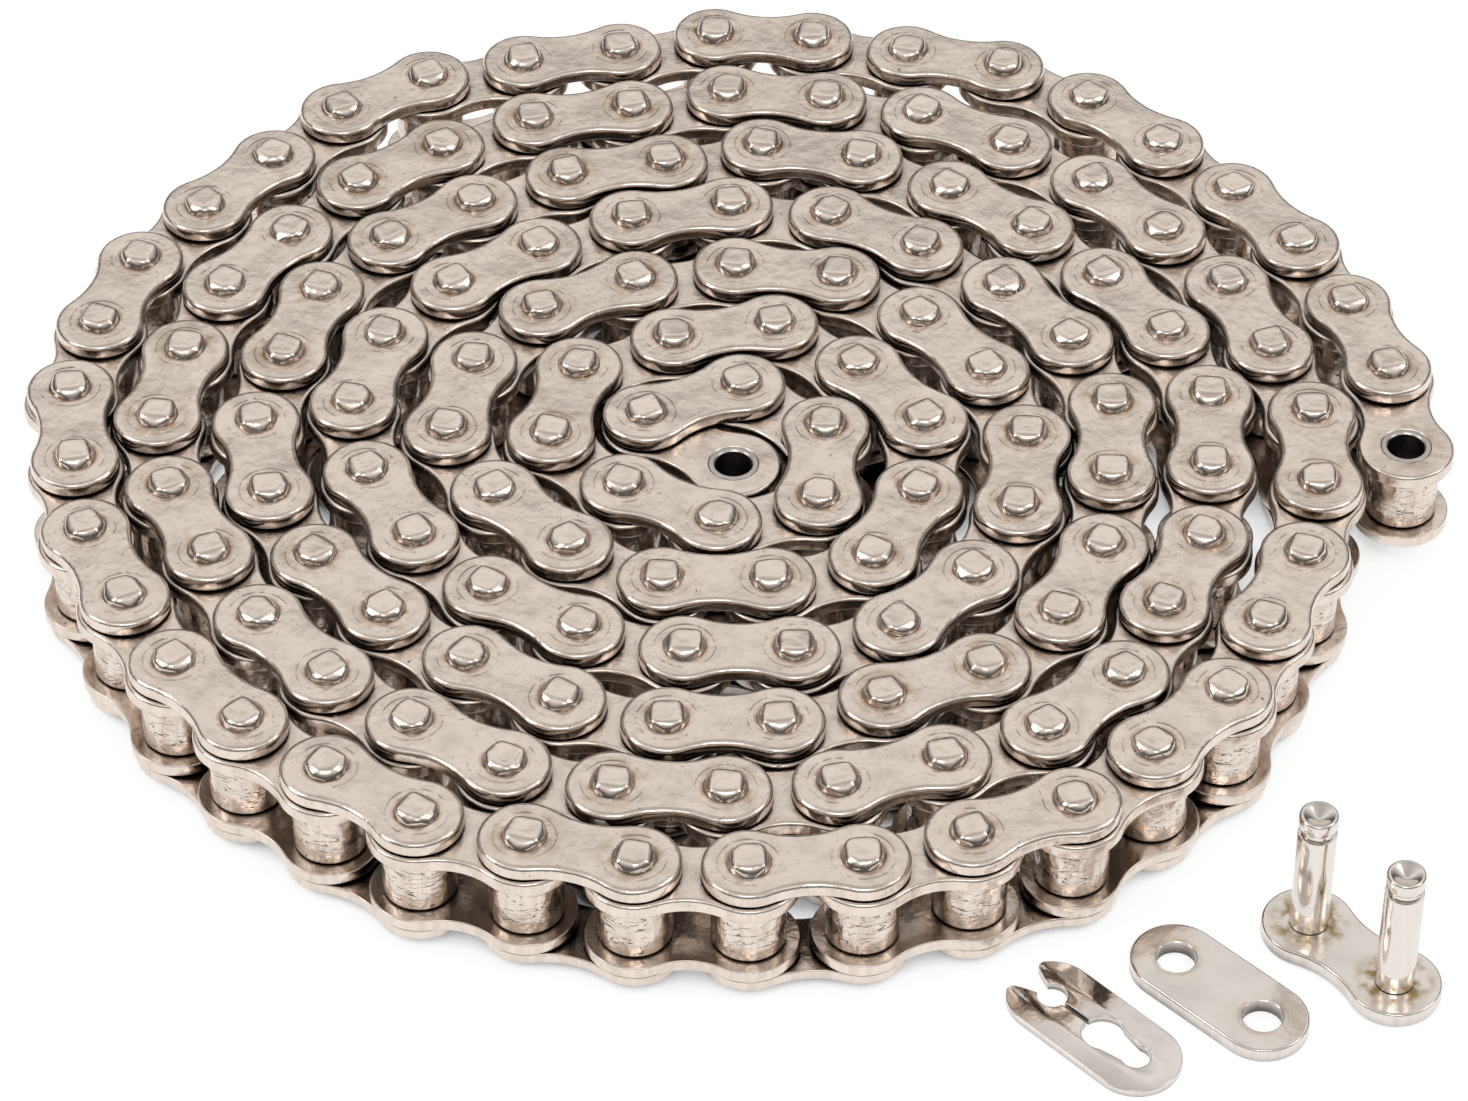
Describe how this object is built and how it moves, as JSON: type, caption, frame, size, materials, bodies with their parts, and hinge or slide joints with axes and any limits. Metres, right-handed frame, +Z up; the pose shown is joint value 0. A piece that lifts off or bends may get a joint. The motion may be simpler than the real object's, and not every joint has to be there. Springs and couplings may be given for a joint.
{
  "type": "motorcycle roller chain",
  "caption": "nickel-plated roller chain coiled flat in a spiral, with its pinned connecting link, oblong side plate and spring clip lying loose beside it",
  "frame": {"origin": "on the floor, under the middle of the whole layout's bounding box", "axes": "+Z up, along every pin; the chain lies flat in the XY plane, its open outer end on the +X side and the loose connecting link on the +X -Y side"},
  "size_m": [0.1726, 0.1754, 0.0194],
  "materials": {
    "outer_plate": "satin nickel plate with fine scratches and oil stains",
    "inner_plate": "satin nickel plate",
    "pin": "nickel-plated steel, staked ends",
    "bush": "oiled steel",
    "roller": "worn nickel plate",
    "loose_plate": "smooth nickel plate",
    "loose_pin": "bright nickel plate",
    "spring_clip": "bright nickel-plated spring steel"
  },
  "bodies": {
    "coil": {"coil_outer_plates_upper": "outer_plate", "coil_outer_plates_lower": "outer_plate", "coil_inner_plates_upper": "inner_plate", "coil_inner_plates_lower": "inner_plate", "coil_pins": "pin", "coil_bushes": "bush", "coil_rollers": "roller"},
    "link16": {"link16_plates": "outer_plate", "link16_pins": "pin"},
    "link15": {"link15_plates": "inner_plate", "link15_bushes": "bush"},
    "link15_roller_a": {"link15_roller_a": "roller"},
    "link15_roller_b": {"link15_roller_b": "roller"},
    "link14": {"link14_plates": "outer_plate", "link14_pins": "pin"},
    "link13": {"link13_plates": "inner_plate", "link13_bushes": "bush"},
    "link13_roller_a": {"link13_roller_a": "roller"},
    "link13_roller_b": {"link13_roller_b": "roller"},
    "link12": {"link12_plates": "outer_plate", "link12_pins": "pin"},
    "link11": {"link11_plates": "inner_plate", "link11_bushes": "bush"},
    "link11_roller_a": {"link11_roller_a": "roller"},
    "link11_roller_b": {"link11_roller_b": "roller"},
    "link10": {"link10_plates": "outer_plate", "link10_pins": "pin"},
    "link09": {"link09_plates": "inner_plate", "link09_bushes": "bush"},
    "link09_roller_a": {"link09_roller_a": "roller"},
    "link09_roller_b": {"link09_roller_b": "roller"},
    "link08": {"link08_plates": "outer_plate", "link08_pins": "pin"},
    "link07": {"link07_plates": "inner_plate", "link07_bushes": "bush"},
    "link07_roller_a": {"link07_roller_a": "roller"},
    "link07_roller_b": {"link07_roller_b": "roller"},
    "link06": {"link06_plates": "outer_plate", "link06_pins": "pin"},
    "link05": {"link05_plates": "inner_plate", "link05_bushes": "bush"},
    "link05_roller_a": {"link05_roller_a": "roller"},
    "link05_roller_b": {"link05_roller_b": "roller"},
    "link04": {"link04_plates": "outer_plate", "link04_pins": "pin"},
    "link03": {"link03_plates": "inner_plate", "link03_bushes": "bush"},
    "link03_roller_a": {"link03_roller_a": "roller"},
    "link03_roller_b": {"link03_roller_b": "roller"},
    "link02": {"link02_plates": "outer_plate", "link02_pins": "pin"},
    "link01": {"link01_plates": "inner_plate", "link01_bushes": "bush"},
    "link01_roller_a": {"link01_roller_a": "roller"},
    "link01_roller_b": {"link01_roller_b": "roller"},
    "connecting_link": {"connecting_plate": "loose_plate", "connecting_pins": "loose_pin"},
    "side_plate": {"side_plate": "loose_plate"},
    "spring_clip": {"spring_clip": "spring_clip"}
  },
  "joints": [
    {"name": "hinge16", "type": "hinge", "parent": "coil", "child": "link16", "pos_m": [-0.06669, 0.04661, 0.00895], "axis": [0, 0, -1], "range_deg": [-45, 0]},
    {"name": "hinge15", "type": "hinge", "parent": "link16", "child": "link15", "pos_m": [-0.05869, 0.05647, 0.00895], "axis": [0, 0, 1], "range_deg": [0, 45]},
    {"name": "spin15a", "type": "hinge", "parent": "link15", "child": "link15_roller_a", "pos_m": [-0.05869, 0.05647, 0.00895], "axis": [0, 0, 1], "continuous": true},
    {"name": "spin15b", "type": "hinge", "parent": "link15", "child": "link15_roller_b", "pos_m": [-0.05052, 0.06619, 0.00895], "axis": [0, 0, 1], "continuous": true},
    {"name": "hinge14", "type": "hinge", "parent": "link15", "child": "link14", "pos_m": [-0.05052, 0.06619, 0.00895], "axis": [0, 0, -1], "range_deg": [-45, 0]},
    {"name": "hinge13", "type": "hinge", "parent": "link14", "child": "link13", "pos_m": [-0.0397, 0.07285, 0.00895], "axis": [0, 0, 1], "range_deg": [0, 45]},
    {"name": "spin13a", "type": "hinge", "parent": "link13", "child": "link13_roller_a", "pos_m": [-0.0397, 0.07285, 0.00895], "axis": [0, 0, 1], "continuous": true},
    {"name": "spin13b", "type": "hinge", "parent": "link13", "child": "link13_roller_b", "pos_m": [-0.02744, 0.07617, 0.00895], "axis": [0, 0, 1], "continuous": true},
    {"name": "hinge12", "type": "hinge", "parent": "link13", "child": "link12", "pos_m": [-0.02744, 0.07617, 0.00895], "axis": [0, 0, -1], "range_deg": [-45, 0]},
    {"name": "hinge11", "type": "hinge", "parent": "link12", "child": "link11", "pos_m": [-0.01501, 0.07877, 0.00895], "axis": [0, 0, 1], "range_deg": [0, 45]},
    {"name": "spin11a", "type": "hinge", "parent": "link11", "child": "link11_roller_a", "pos_m": [-0.01501, 0.07877, 0.00895], "axis": [0, 0, 1], "continuous": true},
    {"name": "spin11b", "type": "hinge", "parent": "link11", "child": "link11_roller_b", "pos_m": [-0.00271, 0.08193, 0.00895], "axis": [0, 0, 1], "continuous": true},
    {"name": "hinge10", "type": "hinge", "parent": "link11", "child": "link10", "pos_m": [-0.00271, 0.08193, 0.00895], "axis": [0, 0, -1], "range_deg": [-45, 0]},
    {"name": "hinge09", "type": "hinge", "parent": "link10", "child": "link09", "pos_m": [0.00996, 0.08112, 0.00895], "axis": [0, 0, 1], "range_deg": [0, 45]},
    {"name": "spin09a", "type": "hinge", "parent": "link09", "child": "link09_roller_a", "pos_m": [0.00996, 0.08112, 0.00895], "axis": [0, 0, 1], "continuous": true},
    {"name": "spin09b", "type": "hinge", "parent": "link09", "child": "link09_roller_b", "pos_m": [0.02234, 0.07825, 0.00895], "axis": [0, 0, 1], "continuous": true},
    {"name": "hinge08", "type": "hinge", "parent": "link09", "child": "link08", "pos_m": [0.02234, 0.07825, 0.00895], "axis": [0, 0, -1], "range_deg": [-45, 0]},
    {"name": "hinge07", "type": "hinge", "parent": "link08", "child": "link07", "pos_m": [0.03464, 0.07513, 0.00895], "axis": [0, 0, 1], "range_deg": [0, 45]},
    {"name": "spin07a", "type": "hinge", "parent": "link07", "child": "link07_roller_a", "pos_m": [0.03464, 0.07513, 0.00895], "axis": [0, 0, 1], "continuous": true},
    {"name": "spin07b", "type": "hinge", "parent": "link07", "child": "link07_roller_b", "pos_m": [0.0454, 0.06838, 0.00895], "axis": [0, 0, 1], "continuous": true},
    {"name": "hinge06", "type": "hinge", "parent": "link07", "child": "link06", "pos_m": [0.0454, 0.06838, 0.00895], "axis": [0, 0, -1], "range_deg": [-45, 0]},
    {"name": "hinge05", "type": "hinge", "parent": "link06", "child": "link05", "pos_m": [0.05433, 0.05934, 0.00895], "axis": [0, 0, 1], "range_deg": [0, 45]},
    {"name": "spin05a", "type": "hinge", "parent": "link05", "child": "link05_roller_a", "pos_m": [0.05433, 0.05934, 0.00895], "axis": [0, 0, 1], "continuous": true},
    {"name": "spin05b", "type": "hinge", "parent": "link05", "child": "link05_roller_b", "pos_m": [0.06277, 0.04986, 0.00895], "axis": [0, 0, 1], "continuous": true},
    {"name": "hinge04", "type": "hinge", "parent": "link05", "child": "link04", "pos_m": [0.06277, 0.04986, 0.00895], "axis": [0, 0, -1], "range_deg": [-45, 0]},
    {"name": "hinge03", "type": "hinge", "parent": "link04", "child": "link03", "pos_m": [0.07006, 0.03945, 0.00895], "axis": [0, 0, 1], "range_deg": [0, 45]},
    {"name": "spin03a", "type": "hinge", "parent": "link03", "child": "link03_roller_a", "pos_m": [0.07006, 0.03945, 0.00895], "axis": [0, 0, 1], "continuous": true},
    {"name": "spin03b", "type": "hinge", "parent": "link03", "child": "link03_roller_b", "pos_m": [0.07542, 0.02794, 0.00895], "axis": [0, 0, 1], "continuous": true},
    {"name": "hinge02", "type": "hinge", "parent": "link03", "child": "link02", "pos_m": [0.07542, 0.02794, 0.00895], "axis": [0, 0, -1], "range_deg": [-45, 0]},
    {"name": "hinge01", "type": "hinge", "parent": "link02", "child": "link01", "pos_m": [0.07931, 0.01585, 0.00895], "axis": [0, 0, 1], "range_deg": [0, 45]},
    {"name": "spin01a", "type": "hinge", "parent": "link01", "child": "link01_roller_a", "pos_m": [0.07931, 0.01585, 0.00895], "axis": [0, 0, 1], "continuous": true},
    {"name": "spin01b", "type": "hinge", "parent": "link01", "child": "link01_roller_b", "pos_m": [0.08052, 0.00321, 0.00895], "axis": [0, 0, 1], "continuous": true},
    {"name": "connecting_link_lift", "type": "slide", "parent": "coil", "child": "connecting_link", "axis": [0, 0, 1], "range_m": [0, 0.03]},
    {"name": "side_plate_lift", "type": "slide", "parent": "coil", "child": "side_plate", "axis": [0, 0, 1], "range_m": [0, 0.03]},
    {"name": "spring_clip_lift", "type": "slide", "parent": "coil", "child": "spring_clip", "axis": [0, 0, 1], "range_m": [0, 0.03]}
  ]
}
